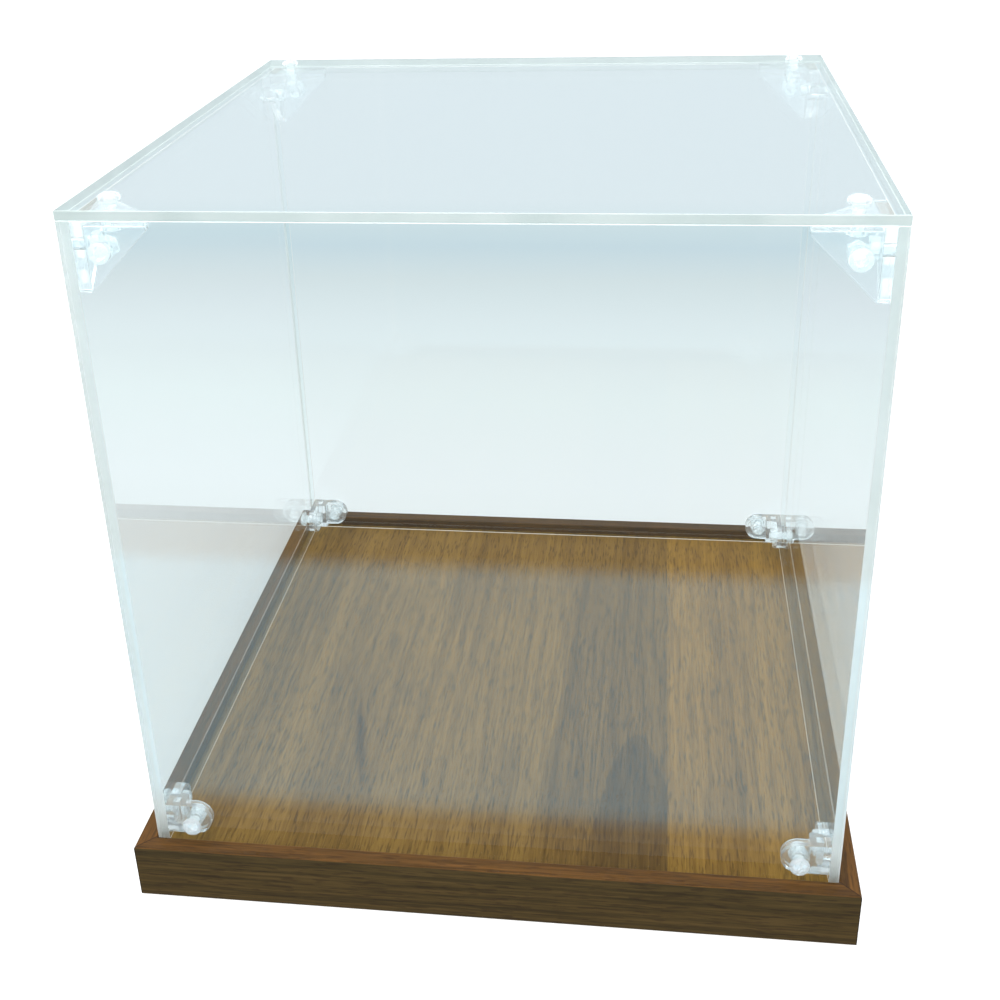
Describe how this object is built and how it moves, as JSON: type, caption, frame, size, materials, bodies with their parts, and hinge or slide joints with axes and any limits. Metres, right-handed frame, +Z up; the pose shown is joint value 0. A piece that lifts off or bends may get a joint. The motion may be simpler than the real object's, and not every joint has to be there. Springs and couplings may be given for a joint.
{
  "type": "helmet display case",
  "caption": "Clear box cover of flat panels held by corner brackets and plastic screws, standing inside the raised lip of a square walnut-look base.",
  "frame": {"origin": "centre of the underside of the base, on the surface that the case stands on", "axes": "+Z up, -Y towards the front of the case, +X to the right of someone who faces the front"},
  "size_m": [0.35, 0.35, 0.3531],
  "materials": {
    "walnut_rail": "satin walnut-effect foil on mitred rails, grain along each rail",
    "walnut_board": "satin walnut-effect foil, grain front to back",
    "clear_acrylic": "polished clear sheet, faintly blue-green, with sawn edges",
    "clear_moulding": "clear injection moulding",
    "clear_screw_plastic": "clear moulded screws and nuts"
  },
  "bodies": {
    "base": {"rail_front": "walnut_rail", "rail_right": "walnut_rail", "rail_back": "walnut_rail", "rail_left": "walnut_rail", "floor_board": "walnut_board"},
    "cover": {"panel_front": "clear_acrylic", "panel_back": "clear_acrylic", "panel_left": "clear_acrylic", "panel_right": "clear_acrylic", "panel_top": "clear_acrylic", "bracket_top_back_right": "clear_moulding", "screws_top_back_right": "clear_screw_plastic", "nuts_top_back_right": "clear_screw_plastic", "bracket_top_back_left": "clear_moulding", "screws_top_back_left": "clear_screw_plastic", "nuts_top_back_left": "clear_screw_plastic", "bracket_top_front_left": "clear_moulding", "screws_top_front_left": "clear_screw_plastic", "nuts_top_front_left": "clear_screw_plastic", "bracket_top_front_right": "clear_moulding", "screws_top_front_right": "clear_screw_plastic", "nuts_top_front_right": "clear_screw_plastic", "bracket_bottom_back_right": "clear_moulding", "screws_bottom_back_right": "clear_screw_plastic", "nuts_bottom_back_right": "clear_screw_plastic", "bracket_bottom_back_left": "clear_moulding", "screws_bottom_back_left": "clear_screw_plastic", "nuts_bottom_back_left": "clear_screw_plastic", "bracket_bottom_front_left": "clear_moulding", "screws_bottom_front_left": "clear_screw_plastic", "nuts_bottom_front_left": "clear_screw_plastic", "bracket_bottom_front_right": "clear_moulding", "screws_bottom_front_right": "clear_screw_plastic", "nuts_bottom_front_right": "clear_screw_plastic"}
  },
  "joints": [
    {"name": "cover_lift", "type": "slide", "parent": "base", "child": "cover", "axis": [0, 0, 1], "range_m": [0, 0.35]}
  ]
}
